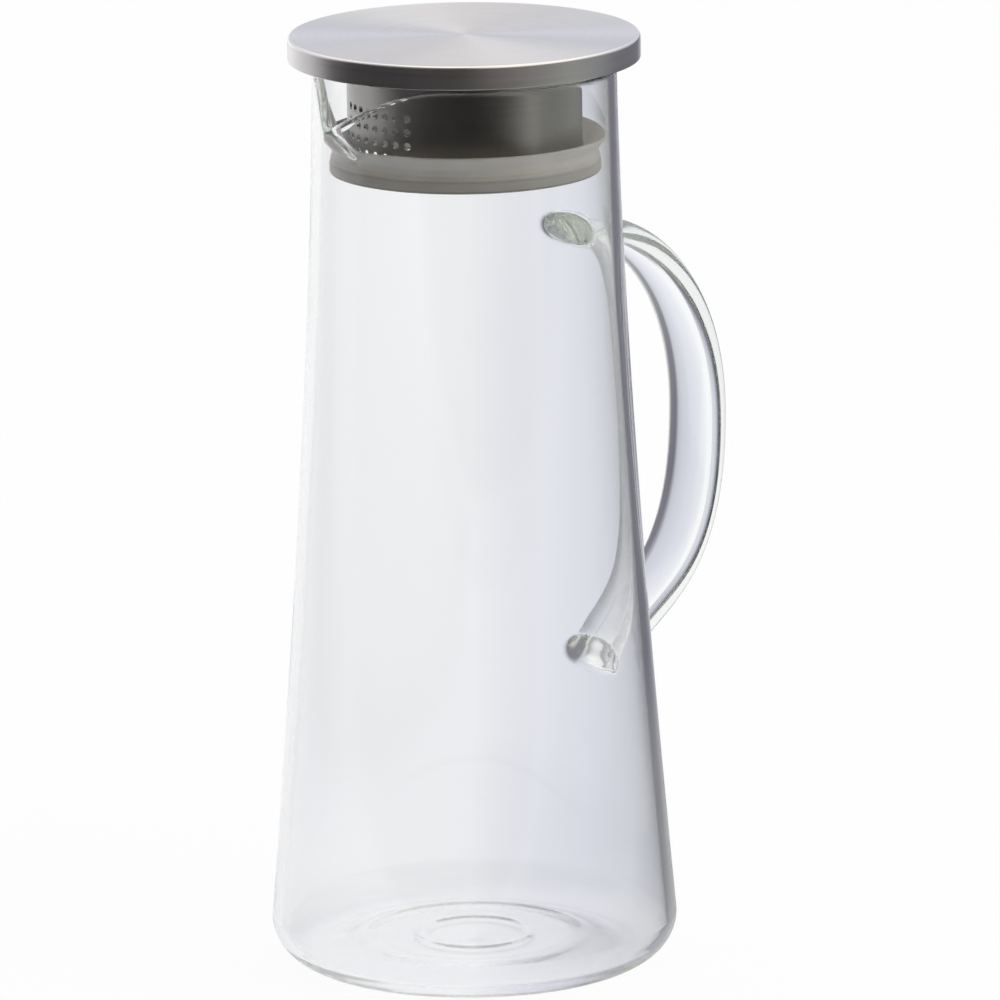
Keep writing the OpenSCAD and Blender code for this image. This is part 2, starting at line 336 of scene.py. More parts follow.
class PitcherFinishes(bpy.types.PropertyGroup):
    """Colours of the pieces, as linear values."""

    glass: colour("Glass", (0.998, 0.999, 1.0), "Colour of the clear glass")
    glass_depth: colour("Glass depth", (0.84, 0.93, 0.77), "Tint that thick glass takes")
    cap: colour("Cap steel", (0.86, 0.845, 0.84), "Colour of the cap's brushed steel")
    # The drum's steel is much darker than the cap's: painted shade, for the shade it sits in under the lid
    # and inside the glass.
    drum: colour("Drum steel", (0.36, 0.35, 0.335), "Colour of the drum's brushed steel, darkened as painted shade")
    # Two painted shades on the seal: its lower lip darker under the upper lip, and its lower edge darker
    # where it meets the glass.
    seal_lip_shade_top: length("Seal's painted lip shade", 0.2110, "Height up to which the seal's lower lip is painted a little darker as shade under the upper lip")
    seal_contact_shade_top: length("Seal's painted contact shade", 0.2086, "Height up to which the seal's lower lip is painted dark as shade where it meets the glass")
    seal: colour("Seal", (0.86, 0.84, 0.79), "Colour of the silicone")


class PitcherStudio(bpy.types.PropertyGroup):
    """The camera, the floor and the surroundings."""

    lens: share("Lens", 326.67, "Focal length in millimetres", 1000.0)
    camera_height: length("Camera height", 0.66787, "Height of the camera above the table")
    camera_distance: length("Camera distance", 2.2722, "Level distance of the camera from the axis")
    camera_side: angle("Camera side", 45.5, "Direction in which the camera stands, from the spout's side")
    yaw: angle("Yaw", 0.198, "Turn of the camera's look to the right")
    pitch: angle("Pitch", 13.541, "How far the camera looks down")
    roll: angle("Roll", -0.658, "Turn of the camera about its own look")
    backdrop: colour("Backdrop", (1.0, 1.0, 1.0), "Colour of the backdrop")
    ceiling: colour("Ceiling", (1.0, 0.97, 0.93), "Colour of the lit sheet straight overhead")


class Wire:
    """A node's output to reckon with: each operator adds a Math node, or for a vector a Vector Math node."""

    def __init__(self, tree, socket):
        self.tree = tree
        self.socket = socket

    def __getitem__(self, name):
        return Wire(self.tree, self.socket.node.outputs[name])

    def math(self, operation, *others):
        return reckoned(self.tree, operation, self, *others)

    def __add__(self, other):
        return self.math("ADD", other)

    def __sub__(self, other):
        return self.math("SUBTRACT", other)

    def __rsub__(self, other):
        return reckoned(self.tree, "SUBTRACT", other, self)

    def __mul__(self, other):
        return self.math("MULTIPLY", other)

    def __truediv__(self, other):
        return self.math("DIVIDE", other)

    def __rtruediv__(self, other):
        return reckoned(self.tree, "DIVIDE", other, self)


def feed(tree, node, wires):
    """Feeds a node's inputs with wires or plain values."""
    for key, value in wires.items():
        if isinstance(value, Wire):
            tree.links.new(value.socket, node.inputs[key])
        else:
            node.inputs[key].default_value = value


def put(tree, kind, wires=None, **settings):
    """Adds a node, sets its properties, feeds its inputs, and gives its first output."""
    node = tree.nodes.new(kind)
    for key, value in settings.items():
        setattr(node, key, value)
    feed(tree, node, wires or {})
    return Wire(tree, node.outputs[0])


def reckoned(tree, operation, *values):
    """The result of a Math node, or of a Vector Math node where a value is a vector."""
    vector = any(isinstance(v, Wire) and v.socket.type == "VECTOR" for v in values)
    kind = "ShaderNodeVectorMath" if vector else "ShaderNodeMath"
    made = put(tree, kind, dict(enumerate(values)), operation=operation)
    return made["Value"] if operation in {"LENGTH", "DOT_PRODUCT"} else made


def split(vector):
    """The X, Y and Z of a vector."""
    made = put(vector.tree, "ShaderNodeSeparateXYZ", {"Vector": vector})
    return made["X"], made["Y"], made["Z"]


def join(*values):
    """A vector from X, Y and Z, of which at least one is a wire."""
    tree = next(v.tree for v in values if isinstance(v, Wire))
    return put(tree, "ShaderNodeCombineXYZ", dict(enumerate(values)))


def new_tree(name, floats, wholes):
    """A Geometry Nodes tree with named inputs, and the wire of its group input."""
    tree = bpy.data.node_groups.new(name, "GeometryNodeTree")
    tree.interface.new_socket("Geometry", in_out="OUTPUT", socket_type="NodeSocketGeometry")
    inputs = {"Geometry": "Geometry", "Material": "Material"}
    inputs.update({label: "Float" for label in floats})
    inputs.update({label: "Int" for label in wholes})
    for label, kind in inputs.items():
        tree.interface.new_socket(label, in_out="INPUT", socket_type="NodeSocket" + kind)
    return tree, put(tree, "NodeGroupInput")


def close_tree(tree, geometry, given):
    """Ends a tree in Realize Instances, smooth shading and Set Material."""
    real = put(tree, "GeometryNodeRealizeInstances", {"Geometry": geometry})
    smooth = put(tree, "GeometryNodeSetShadeSmooth", {"Geometry": real})
    clad = put(tree, "GeometryNodeSetMaterial", {"Geometry": smooth, "Material": given["Material"]})
    feed(tree, tree.nodes.new("NodeGroupOutput"), {0: clad})


def moved(geometry, place, chosen=True):
    """Geometry whose chosen points stand at new places."""
    wires = {"Geometry": geometry, "Selection": chosen, "Position": place}
    return put(geometry.tree, "GeometryNodeSetPosition", wires)


def merged(geometry):
    """Geometry whose corners are joined where they meet."""
    return put(geometry.tree, "GeometryNodeMergeByDistance", {"Geometry": geometry, "Distance": MERGE})


def round_place(radius, turn, height):
    """The place at a radius from the axis, an angle about it and a height."""
    return join(radius * turn.math("COSINE"), radius * turn.math("SINE"), height)


def lathe_tree():
    """Turns an outline of points (radius, 0, height) about the Z axis."""
    tree, given = new_tree("turned_outline", (), ("Steps",))
    size = put(tree, "GeometryNodeAttributeDomainSize", {"Geometry": given["Geometry"]}, component="MESH")
    columns = size["Point Count"]
    grid = {"Size X": 1.0, "Size Y": 1.0, "Vertices X": columns, "Vertices Y": given["Steps"] + 1}
    sheet = put(tree, "GeometryNodeMeshGrid", grid)
    here = put(tree, "GeometryNodeInputPosition")
    x, y, _ = split(here)
    index = ((x + 0.5) * (columns - 1)).math("ROUND")
    corner = put(
        tree,
        "GeometryNodeSampleIndex",
        {"Geometry": given["Geometry"], "Value": here, "Index": index},
        data_type="FLOAT_VECTOR",
        domain="POINT",
    )
    radius, _, height = split(corner)
    close_tree(tree, merged(moved(sheet, round_place(radius, y * (-2 * math.pi), height))), given)


def strap_tree():
    """Sweeps a rounded strap along a line of points that carry their own width and thickness."""
    tree, given = new_tree("swept_strap", ("Width", "Thickness", "Edge Rounding"), ("Corner Steps",))
    width, thickness = given["Width"], given["Thickness"]
    line = put(tree, "GeometryNodeMeshToCurve", {"Mesh": given["Geometry"]})
    level = put(tree, "GeometryNodeSetCurveNormal", {"Curve": line, "Normal": (0.0, 1.0, 0.0)}, mode="FREE")
    here = put(tree, "GeometryNodeInputPosition")
    kept = put(
        tree,
        "GeometryNodeStoreNamedAttribute",
        {"Geometry": level, "Name": "middle", "Value": here},
        data_type="FLOAT_VECTOR",
        domain="POINT",
    )
    sides = {"Width": width, "Height": thickness}
    plate = put(tree, "GeometryNodeCurvePrimitiveQuadrilateral", sides, mode="RECTANGLE")
    corners = {"Curve": plate, "Radius": given["Edge Rounding"], "Count": given["Corner Steps"]}
    rounded = put(tree, "GeometryNodeFilletCurve", corners, mode="POLY")
    profile = put(tree, "GeometryNodeSubdivideCurve", {"Curve": rounded, "Cuts": 2})
    swept = put(tree, "GeometryNodeCurveToMesh", {"Curve": kept, "Profile Curve": profile})

    def carried(name, kind="FLOAT"):
        return put(tree, "GeometryNodeInputNamedAttribute", {"Name": name}, data_type=kind)

    middle = carried("middle", "FLOAT_VECTOR")
    wide, thick, oval = carried("wide"), carried("thick"), carried("oval")
    away = here - middle
    corner = (away / join(thickness, width, thickness)).math("LENGTH") * 2.0
    rounding = (1.0 / corner.math("MAXIMUM", 0.5) - 1.0) * oval + 1.0
    swelled = away * join(thick, wide, thick) * join(rounding, rounding, rounding)
    close_tree(tree, moved(swept, middle + swelled), given)


def perforation_tree():
    """Sets a field of round holes in a flat sheet and rolls the sheet into a drum."""
    lengths = ("Column Pitch", "Row Pitch", "Hole Radius", "Field Height", "Drum Radius", "Turn")
    tree, given = new_tree("perforated_drum", lengths, ("Columns", "Rows", "Hole Sides"))
    columns, rows, radius = given["Columns"], given["Rows"], given["Hole Radius"]
    column_pitch, row_pitch = given["Column Pitch"], given["Row Pitch"]
    here = put(tree, "GeometryNodeInputPosition")
    ring = put(tree, "GeometryNodeMeshCircle", {"Vertices": given["Hole Sides"], "Radius": 1.0})
    tile = put(tree, "GeometryNodeExtrudeMesh", {"Mesh": ring, "Offset Scale": 0.0}, mode="EDGES")
    along, height, _ = split(here)
    widest = along.math("ABSOLUTE").math("MAXIMUM", height.math("ABSOLUTE"))
    square = here / join(widest, widest, 1.0)
    edged = moved(tile, square * join(column_pitch / 2.0, row_pitch / 2.0, 0.0), tile["Top"])
    inside = put(tree, "FunctionNodeBooleanMath", {0: tile["Top"]}, operation="NOT")
    holed = moved(edged, here * join(radius, radius, 0.0), inside)
    grid = {
        "Size X": column_pitch * (columns - 1),
        "Size Y": row_pitch * (rows - 1),
        "Vertices X": columns,
        "Vertices Y": rows,
    }
    spots = put(tree, "GeometryNodeMeshGrid", grid)
    tiles = put(tree, "GeometryNodeInstanceOnPoints", {"Points": spots, "Instance": holed})
    rise = join(0.0, given["Field Height"], 0.0)
    raised = put(tree, "GeometryNodeTransform", {"Geometry": tiles, "Translation": rise})
    field = put(tree, "GeometryNodeRealizeInstances", {"Geometry": raised})
    both = put(tree, "GeometryNodeJoinGeometry", {0: given["Geometry"]})
    feed(tree, both.socket.node, {0: field})
    turn = along / given["Drum Radius"] + given["Turn"]
    rolled = moved(merged(both), round_place(given["Drum Radius"], turn, height))
    close_tree(tree, merged(rolled), given)


def plain_mesh(name, points, edges=(), faces=()):
    """A mesh from lists."""
    mesh = bpy.data.meshes.new(name)
    mesh.from_pydata([tuple(p) for p in points], list(edges), list(faces))
    return mesh


def shown(name, data):
    """An object that holds a mesh, a camera or a lamp and stands in the scene."""
    made = bpy.data.objects.new(name, data)
    bpy.context.scene.collection.objects.link(made)
    return made


def settled(source, name):
    """A plain object with what an object looks like under its modifiers; the object itself goes."""
    bpy.context.view_layer.update()
    graph = bpy.context.evaluated_depsgraph_get()
    mesh = bpy.data.meshes.new_from_object(source.evaluated_get(graph))
    mesh.name = name
    bpy.data.objects.remove(source)
    if not mesh.polygons:
        raise RuntimeError(f"{name} came out empty")
    return shown(name, mesh)


def grown(name, base, tree, values):
    """Runs a Geometry Nodes tree on a base mesh, and gives the result as a plain object."""
    source = shown(name + "_base", base)
    modifier = source.modifiers.new(tree.name, "NODES")
    modifier.node_group = tree
    sockets = {item.name: item.identifier for item in tree.interface.items_tree if item.in_out == "INPUT"}
    for label, value in values.items():
        modifier[sockets[label]] = value
    return settled(source, name)


@contextmanager
def reworked(piece):
    """Opens a piece's mesh for work, and writes it back afterwards."""
    work = bmesh.new()
    work.from_mesh(piece.data)
    yield work
    work.to_mesh(piece.data)
    work.free()


def coated(piece, material):
    """Gives a piece one material alone."""
    piece.data.materials.clear()
    piece.data.materials.append(material)


def tidy_mesh(piece, sharp_angle=None):
    """Merges doubles, points the faces outwards, and keeps only clear edges sharp."""
    with reworked(piece) as work:
        bmesh.ops.remove_doubles(work, verts=work.verts, dist=MERGE)
        bmesh.ops.recalc_face_normals(work, faces=work.faces)
    piece.data.shade_smooth()
    if sharp_angle is not None:
        piece.data.set_sharp_from_angle(angle=math.radians(sharp_angle))
    return piece


def points_of(mesh):
    """The mesh's corners as rows of x, y, z."""
    flat = np.zeros(len(mesh.vertices) * 3)
    mesh.vertices.foreach_get("co", flat)
    return flat.reshape(-1, 3)


def place_points(mesh, points):
    """Writes rows of x, y, z back to a mesh."""
    mesh.vertices.foreach_set("co", points.ravel())
    mesh.update()


def turned(name, outline, steps, material, sharp_angle=None):
    """A piece turned on the lathe from an outline of radius and height."""
    base = plain_mesh(name + "_outline", [(r, 0.0, z) for r, z in outline])
    piece = grown(name, base, bpy.data.node_groups["turned_outline"], {"Steps": steps, "Material": material})
    return tidy_mesh(piece, sharp_angle)


def arc(centre, radius, start, end, steps):
    """Points of an arc in the plane of radius and height; angles in degrees from outwards."""
    angles = [math.radians(a) for a in np.linspace(start, end, steps + 1)]
    return [(centre[0] + radius * math.cos(a), centre[1] + radius * math.sin(a)) for a in angles]


def side_radius(glass, z):
    """Outer radius of the glass at a height."""
    rise = np.maximum(0.0, 1.0 - np.asarray(z, float) / glass.rim_height)
    return glass.neck_radius + (glass.foot_radius - glass.neck_radius) * rise**glass.side_curve


def side_heights(glass, low, high, roots):
    """Heights of the side's level rings, closer together where a root or the spout is."""
    spout_low = glass.rim_height - glass.spout_height - SPOUT_MARGIN
    marks = [low]
    while marks[-1] < high:
        z = marks[-1]
        step = USUAL_STEP
        if z > spout_low:
            step = SPOUT_STEP
        elif any(abs(z - root) < ROOT_ZONE for root in roots):
            step = ROOT_STEP
        marks.append(min(high, z + step))
    return marks


def heel_wave(turn):
    """How much the pressed line round the inner heel sinks into the glass, by the angle down the heel."""
    depth, place, width = HEEL_LINE
    return depth * math.exp(-(((turn + place) / width) ** 2))


def floor_wave(radius):
    """How much the pressed rings of the floor's upper side stand up at a radius."""
    return sum(
        height * math.exp(-(((radius - middle) / width) ** 2)) for middle, width, height in FLOOR_RINGS
    )


def body_outline(glass, handle):
    """The whole section of the glass body, from the underside's middle round the rim to the floor's."""
    heel = glass.heel_radius
    heel_centre = float(side_radius(glass, heel)) - heel
    inner_heel = heel - glass.heel_wall
    low = glass.floor_thickness + inner_heel
    inner_centre = float(side_radius(glass, low)) - glass.wall - inner_heel
    kick_radius = min(heel_centre, inner_centre) - glass.stand_width
    rim = glass.wall / 2
    rim_centre = glass.rim_height - rim
    roots = (handle.root_top, handle.root_low)

    slope = kick_radius - glass.kick_middle
    under = [(r, glass.kick_up) for r in np.linspace(0.0, glass.kick_middle, MIDDLE_STEPS + 1)[:-1]]
    under += [
        (glass.kick_middle + u * slope, glass.kick_up * math.cos(math.pi / 2 * u) ** 2)
        for u in np.linspace(0, 1, KICK_STEPS + 1)
    ]
    outer_heel = arc((heel_centre, heel), heel, -90, 0, HEEL_STEPS)
    outer = [(float(side_radius(glass, z)), z) for z in side_heights(glass, heel, rim_centre, roots)]
    lip = arc((float(side_radius(glass, rim_centre)) - rim, rim_centre), rim, 0, 180, LIP_STEPS)
    inner = [(float(side_radius(glass, z)) - glass.wall, z) for z in side_heights(glass, low, rim_centre, ())]
    angles = np.radians(np.linspace(0, -90, INNER_HEEL_STEPS + 1))
    waved = [(a, inner_heel + heel_wave(a)) for a in angles]
    inner_arc = [(inner_centre + r * math.cos(a), low + r * math.sin(a)) for a, r in waved]
    floor = [(r, z + glass.floor_thickness + floor_wave(r)) for r, z in reversed(under)]
    return under + outer_heel + outer[1:] + lip[1:-1] + inner[::-1] + inner_arc[1:] + floor


def pull_spout(glass, points):
    """Draws the neck's level circles out to the spout's tip, and lets the rim fall towards it."""
    x, y, z = points.T
    radius = np.hypot(x, y)
    turn = np.arctan2(y, -x)
    turn = turn - SPOUT_CROWDING * np.sin(2 * turn)
    rim_centre = glass.rim_height - glass.wall / 2
    spout_low = glass.rim_height - glass.spout_height
    tip = glass.neck_radius + glass.spout_reach
    blur = glass.tip_round / tip
    flank = math.acos(glass.neck_radius / tip)
    blurred = np.sqrt(turn**2 + blur**2)
    flank_share = np.tan(np.maximum(0.0, flank + blur - blurred)) / math.tan(flank)
    rim_at = rim_centre - glass.spout_dip * flank_share**glass.dip_curve
    v = np.clip((z - spout_low) / (rim_centre - spout_low), 0.0, 1.0)
    level = np.minimum(z, spout_low) + v * (rim_at - spout_low)
    reach = np.arccos(glass.neck_radius / (glass.neck_radius + glass.spout_reach * v**glass.spout_curve))
    pull = 1.0 / np.cos(np.maximum(0.0, reach + blur - blurred))
    shift = side_radius(glass, level) - side_radius(glass, np.minimum(z, rim_centre))
    in_spout = z > spout_low
    radius = np.where(in_spout, (radius + shift) * pull, radius)
    height = np.where(in_spout, level + np.maximum(0.0, z - rim_centre), z)
    return np.column_stack([-radius * np.cos(turn), radius * np.sin(turn), height])


def cubic(points, s):
    """Points of a cubic curve, at parts of its way."""
    a, b, c, d = (np.asarray(p, float) for p in points)
    s = np.asarray(s)[:, None]
    return (1 - s) ** 3 * a + 3 * (1 - s) ** 2 * s * b + 3 * (1 - s) * s**2 * c + s**3 * d


def strap_line(glass, handle):
    """The strap's middle line from root to root, and its two roots, in the plane of X and Z."""
    top = np.array([float(side_radius(glass, handle.root_top)), handle.root_top])
    low = np.array([float(side_radius(glass, handle.root_low)), handle.root_low])
    far = np.array([handle.reach, handle.far_height])
    steps = np.linspace(0, 1, 400)
    upper = cubic([top, top + TOP_PULL, far + [0, FAR_PULL_UP], far], steps)
    lower = cubic([far, far - [0, FAR_PULL_DOWN], low + LOW_PULL, low], steps)
    return np.vstack([upper, lower[1:]]), top, low


def spaced(line, start, end, steps):
    """Points at even steps along a line, from a length after its start to a length before its end."""
    run = np.concatenate([[0], np.cumsum(np.linalg.norm(np.diff(line, axis=0), axis=1))])
    wanted = np.linspace(start, run[-1] - end, steps + 1)
    return np.column_stack([np.interp(wanted, run, line[:, k]) for k in range(2)])


def open_loops(work):
    """The rings of corners along a mesh's open edges."""
    left = {e for e in work.edges if e.is_boundary}
    loops = []
    while left:
        edge = left.pop()
        loop = [edge.verts[0], edge.verts[1]]
        while True:
            following = [e for e in loop[-1].link_edges if e in left]
            if not following:
                break
            left.remove(following[0])
            loop.append(following[0].other_vert(loop[-1]))
        loops.append(loop[:-1] if loop[-1] is loop[0] else loop)
    return loops


def wall_hit(glass, start, direction):
    """Where a straight line from outside meets the outside of the glass."""
    near, far = 0.0, WALL_SEARCH
    for _ in range(WALL_HALVINGS):
        middle = (near + far) / 2
        p = start + middle * direction
        if math.hypot(p[0], p[1]) > float(side_radius(glass, p[2])):
            near = middle
        else:
            far = middle
    return start + near * direction


def wall_normal(glass, p):
    """The outward direction of the glass's outside at a point on it."""
    step = 1e-4
    slope = float(side_radius(glass, p[2] + step) - side_radius(glass, p[2] - step)) / (2 * step)
    across = math.hypot(p[0], p[1])
    normal = np.array([p[0] / across, p[1] / across, -slope])
    return normal / np.linalg.norm(normal)


def on_wall(glass, p, depth):
    """The point at a depth under the glass's outside that is level with another point."""
    across = math.hypot(p[0], p[1])
    radius = float(side_radius(glass, p[2])) - depth
    return np.array([p[0] / across * radius, p[1] / across * radius, p[2]])


def melt_root(work, loop, glass, handle, direction):
    """Runs the strap's open end into the wall with a melted edge, and closes it inside the glass."""
    start = [np.array(v.co) for v in loop]
    hits = [wall_hit(glass, p, direction) for p in start]
    middle = sum(hits) / len(hits)
    rings = []
    for k in range(1, MELT_RINGS + 3):
        ring = []
        for p, hit in zip(start, hits):
            normal = wall_normal(glass, hit)
            spread = hit - middle
            spread -= normal * (spread @ normal)
            spread /= np.linalg.norm(spread)
            edge = on_wall(glass, hit + spread * handle.fillet, 0.0)
            if k <= MELT_RINGS:
                turn = p + (hit - p) * MELT_LEAN
                bend = hit + (edge - hit) * MELT_SPREAD
                place = cubic([p, turn, bend, edge], [k / MELT_RINGS])[0]
            elif k == MELT_RINGS + 1:
                place = on_wall(glass, edge + spread * MELT_TUCK, MELT_TUCK)
            else:
                place = on_wall(glass, middle + (edge - middle) * MELT_NARROW, MELT_DEPTH)
            ring.append(work.verts.new(place))
        rings.append(ring)
    last = loop
    for ring in rings:
        for i in range(len(ring)):
            j = (i + 1) % len(ring)
            work.faces.new((last[i], last[j], ring[j], ring[i]))
        last = ring
    hub = work.verts.new(on_wall(glass, middle, MELT_HUB))
    for i in range(len(last)):
        work.faces.new((last[i], last[(i + 1) % len(last)], hub))


def soften_seam(piece, glass):
    """Smooths the line where each root leaves the wall, as melted glass flows."""
    with reworked(piece) as work:
        bmesh.ops.triangulate(work, faces=[f for f in work.faces if len(f.verts) > 4])
        near = set()
        for edge in work.edges:
            if len(edge.link_faces) != 2:
                continue
            middle = (edge.verts[0].co + edge.verts[1].co) / 2
            if middle.x < SEAM_X or abs(middle.y) > SEAM_Y:
                continue
            gap = math.hypot(middle.x, middle.y) - float(side_radius(glass, middle.z))
            if abs(gap) < SEAM_GAP and edge.calc_face_angle(0.0) > SEAM_ANGLE:
                near.update(edge.verts)
        around = set(near)
        for v in near:
            around.update(e.other_vert(v) for e in v.link_edges)
        axes = {"use_axis_x": True, "use_axis_y": True, "use_axis_z": True}
        for _ in range(3):
            bmesh.ops.smooth_vert(work, verts=list(around), factor=0.4, **axes)
    piece.data.shade_smooth()


def new_material(name):
    """A material, its node tree and its shader."""
    made = bpy.data.materials.new(name)
    made.use_nodes = True
    tree = made.node_tree
    return made, tree, tree.nodes["Principled BSDF"]


def texture_place(tree, kind="Object"):
    """The place on the object that a texture goes by."""
    return put(tree, "ShaderNodeTexCoord")[kind]


def noise(vector, scale, detail=3.0, roughness=0.5, w=None):
    """The value of a noise texture, with a fourth dimension where one is given."""
    wires = {"Vector": vector, "Scale": scale, "Detail": detail, "Roughness": roughness}
    if w is not None:
        wires["W"] = w
    return put(vector.tree, "ShaderNodeTexNoise", wires, noise_dimensions="3D" if w is None else "4D")


def ranged(value, start, end, low=0.0, high=1.0):
    """A value mapped from one range to another."""
    wires = {"Value": value, "From Min": start, "From Max": end, "To Min": low, "To Max": high}
    return put(value.tree, "ShaderNodeMapRange", wires)


def grained(value, low=0.0, high=1.0):
    """A noise's usual range mapped to another."""
    return ranged(value, *NOISE_RANGE, low, high)


def mixed(factor, first, second, blend="MIX"):
    """Two colours mixed by a factor; the first is a wire where the factor is none."""
    tree = factor.tree if isinstance(factor, Wire) else first.tree
    first, second = (v if isinstance(v, Wire) else (*v[:3], 1.0) for v in (first, second))
    made = put(tree, "ShaderNodeMix", {0: factor, 6: first, 7: second}, data_type="RGBA", blend_type=blend)
    return made[2]


def bumped(height, strength, distance):
    """The normal of a surface that a height raises."""
    return put(height.tree, "ShaderNodeBump", {"Height": height, "Strength": strength, "Distance": distance})


def shaded(values, amount):
    """A colour made darker or lighter."""
    return tuple(min(1.0, max(0.0, v * amount)) for v in values)


def glass_material(finish):
    """Clear glass with the faint waves of hand work and a green depth, from which trapped light gets out."""
    made, tree, shader = new_material("clear_glass")
    place = texture_place(tree)
    x, y, z = split(place)
    waves = noise(join(x, y, z * 0.35), scale=45.0, detail=1.5, roughness=0.4)
    cloud = noise(place, scale=22.0, detail=2.0)
    bounces = put(tree, "ShaderNodeLightPath")["Ray Depth"]
    feed(tree, shader, {
        "Base Color": mixed(grained(cloud), finish.glass, shaded(finish.glass, 0.998)),
        "Roughness": grained(cloud, 0.0, 0.012),
        "IOR": 1.45,
        "Transmission Weight": 1.0,
        "Alpha": ranged(bounces, start=3.0, end=6.0, low=1.0, high=0.3),
        "Normal": bumped(waves, strength=0.06, distance=0.002),
    })
    depth = put(tree, "ShaderNodeVolumeAbsorption", {"Color": (*finish.glass_depth, 1.0), "Density": 7.0})
    feed(tree, tree.nodes["Material Output"], {"Volume": depth})
    return made


def steel_material(name, tone, roughness, brushing, anisotropic, relief):
    """Steel brushed in fine rings round its axis, a little worn, with polished bevels whose colour carries a
    painted warm highlight.
    """
    made, tree, shader = new_material(name)
    place = texture_place(tree)
    x, y, z = split(place)
    radius = join(x, y, 0.0).math("LENGTH")
    safe = radius.math("MAXIMUM", 1e-4)
    rings = join(radius * brushing, z * brushing, x / safe * 0.6)
    streak = noise(rings, scale=1.0, detail=5.0, roughness=0.65, w=y / safe * 0.6)
    cloud = noise(place, scale=60.0)
    tint = mixed(grained(streak), shaded(tone, 0.95), shaded(tone, 1.04))
    aged = mixed(grained(cloud, 0.0, 0.35), tint, shaded(tone, 0.93))
    _, _, tilt = split(put(tree, "ShaderNodeNewGeometry")["Normal"])
    # Tilted bevels get a lower roughness and a painted highlight: their colour is raised to a warm near
    # white.
    bevel_polish_and_highlight = ranged(tilt, 0.10, 0.30) * ranged(tilt, 0.93, 0.985, low=1.0, high=0.0)
    brushed = grained(streak, roughness * 0.93, roughness * 1.08)
    feed(tree, shader, {
        "Base Color": mixed(bevel_polish_and_highlight, aged, (1.0, 0.985, 0.95)),
        "Metallic": 1.0,
        "Roughness": brushed * grained(bevel_polish_and_highlight, 1.0, 0.25),
        "Anisotropic": anisotropic,
        "Anisotropic Rotation": 0.25,
        "Tangent": put(tree, "ShaderNodeTangent", direction_type="RADIAL", axis="Z"),
        "Normal": bumped(streak, relief, distance=0.0001),
    })
    return made


def seal_material(finish):
    """Translucent silicone with a satin skin, a little dusty, with painted shade on its lower lip and darker
    painted shade along its lower edge.
    """
    made, tree, shader = new_material("silicone_seal")
    place = texture_place(tree)
    mottle = noise(place, scale=180.0, detail=4.0, roughness=0.6)
    cloud = noise(place, scale=35.0, detail=2.0)
    tint = mixed(grained(cloud), shaded(finish.seal, 0.94), shaded(finish.seal, 1.05))
    dusty = mixed(grained(mottle, 0.0, 0.3), tint, shaded(finish.seal, 0.88))
    _, _, height = split(place)
    contact_shade_fade, lip_shade_fade = 0.0007, 0.0012
    # Painted shade: the lower lip is darkened a little up to the groove, as shade under the upper lip, and
    # more along its lower edge, as shade where it meets the glass.
    edge = ranged(height, finish.seal_contact_shade_top, finish.seal_contact_shade_top + contact_shade_fade, low=0.8, high=0.0)
    groove = ranged(height, finish.seal_lip_shade_top, finish.seal_lip_shade_top + lip_shade_fade, low=0.4, high=0.0)
    feed(tree, shader, {
        "Base Color": mixed(edge.math("MAXIMUM", groove), dusty, shaded(finish.seal, 0.25)),
        "Roughness": grained(mottle, 0.34, 0.46),
        "Transmission Weight": 0.2,
        "Subsurface Weight": 0.6,
        "Subsurface Radius": (0.9, 0.8, 0.65),
        "Subsurface Scale": 0.003,
        "IOR": 1.41,
        "Normal": bumped(mottle, strength=0.05, distance=0.0002),
    })
    return made


def turn_place(degrees):
    """The place on a ramp of an angle from straight behind the pitcher; the ramp is finest near there."""
    return 0.5 + 0.5 * math.copysign(math.sqrt(abs(degrees) / 180.0), degrees)


def bearing(vector, right, front, reach=0.0):
    """The place on a ramp of a direction, or of a point as seen from a reach in front of the axis."""
    side = vector.math("DOT_PRODUCT", right)
    behind = reach - vector.math("DOT_PRODUCT", front)
    turn = side.math("ARCTAN2", behind) / math.pi
    return turn.math("ABSOLUTE").math("POWER", 0.5) * turn.math("SIGN") * 0.5 + 0.5


def toned(place, stops):
    """The room's colour at a place on the ramp of one of its tables, which ends as it begins."""
    stops = (*stops, (180, stops[0][1]))
    made = put(place.tree, "ShaderNodeValToRGB", {"Fac": place})
    colours = made.socket.node.color_ramp
    colours.interpolation = "LINEAR"
    while len(colours.elements) < len(stops):
        colours.elements.new(0.5)
    for element, (degrees, tone) in zip(colours.elements, stops):
        element.position = turn_place(degrees)
        element.color = (*tone, 1.0)
    return made


def camera_axes(studio):
    """The camera's place, and its right, up and back directions, in the part's frame."""
    side = studio.camera_side
    place = Vector((
        -studio.camera_distance * math.cos(side),
        -studio.camera_distance * math.sin(side),
        studio.camera_height,
    ))
    look = side - studio.yaw
    ahead = Vector((
        math.cos(studio.pitch) * math.cos(look),
        math.cos(studio.pitch) * math.sin(look),
        -math.sin(studio.pitch),
    ))
    right = Vector((math.sin(look), -math.cos(look), 0.0))
    up = right.cross(ahead)
    cos, sin = math.cos(studio.roll), math.sin(studio.roll)
    return place, right * cos + up * sin, up * cos - right * sin, -ahead


def make_camera(studio):
    """The camera where the photographer's stood."""
    place, right, up, back = camera_axes(studio)
    data = bpy.data.cameras.new("camera")
    data.lens = studio.lens
    data.sensor_width = 36.0
    data.clip_start = 0.05
    data.clip_end = 50.0
    camera = shown("camera", data)
    turn = Matrix((right, up, back)).transposed().to_4x4()
    camera.matrix_world = Matrix.Translation(place) @ turn
    bpy.context.scene.camera = camera


def clear_view(path):
    """One for a ray that only met metal and glass, and nothing matte that it would light."""
    seen = path["Is Glossy Ray"].math("MAXIMUM", path["Is Transmission Ray"])
    return seen * path["Diffuse Depth"].math("LESS_THAN", 0.5)


def through_glass(path, straight, mirrored):
    """What glass shows: one colour straight, another to a ray that was mirrored on its way."""
    return mixed(path["Glossy Depth"].math("GREATER_THAN", 0.5), straight, mirrored)


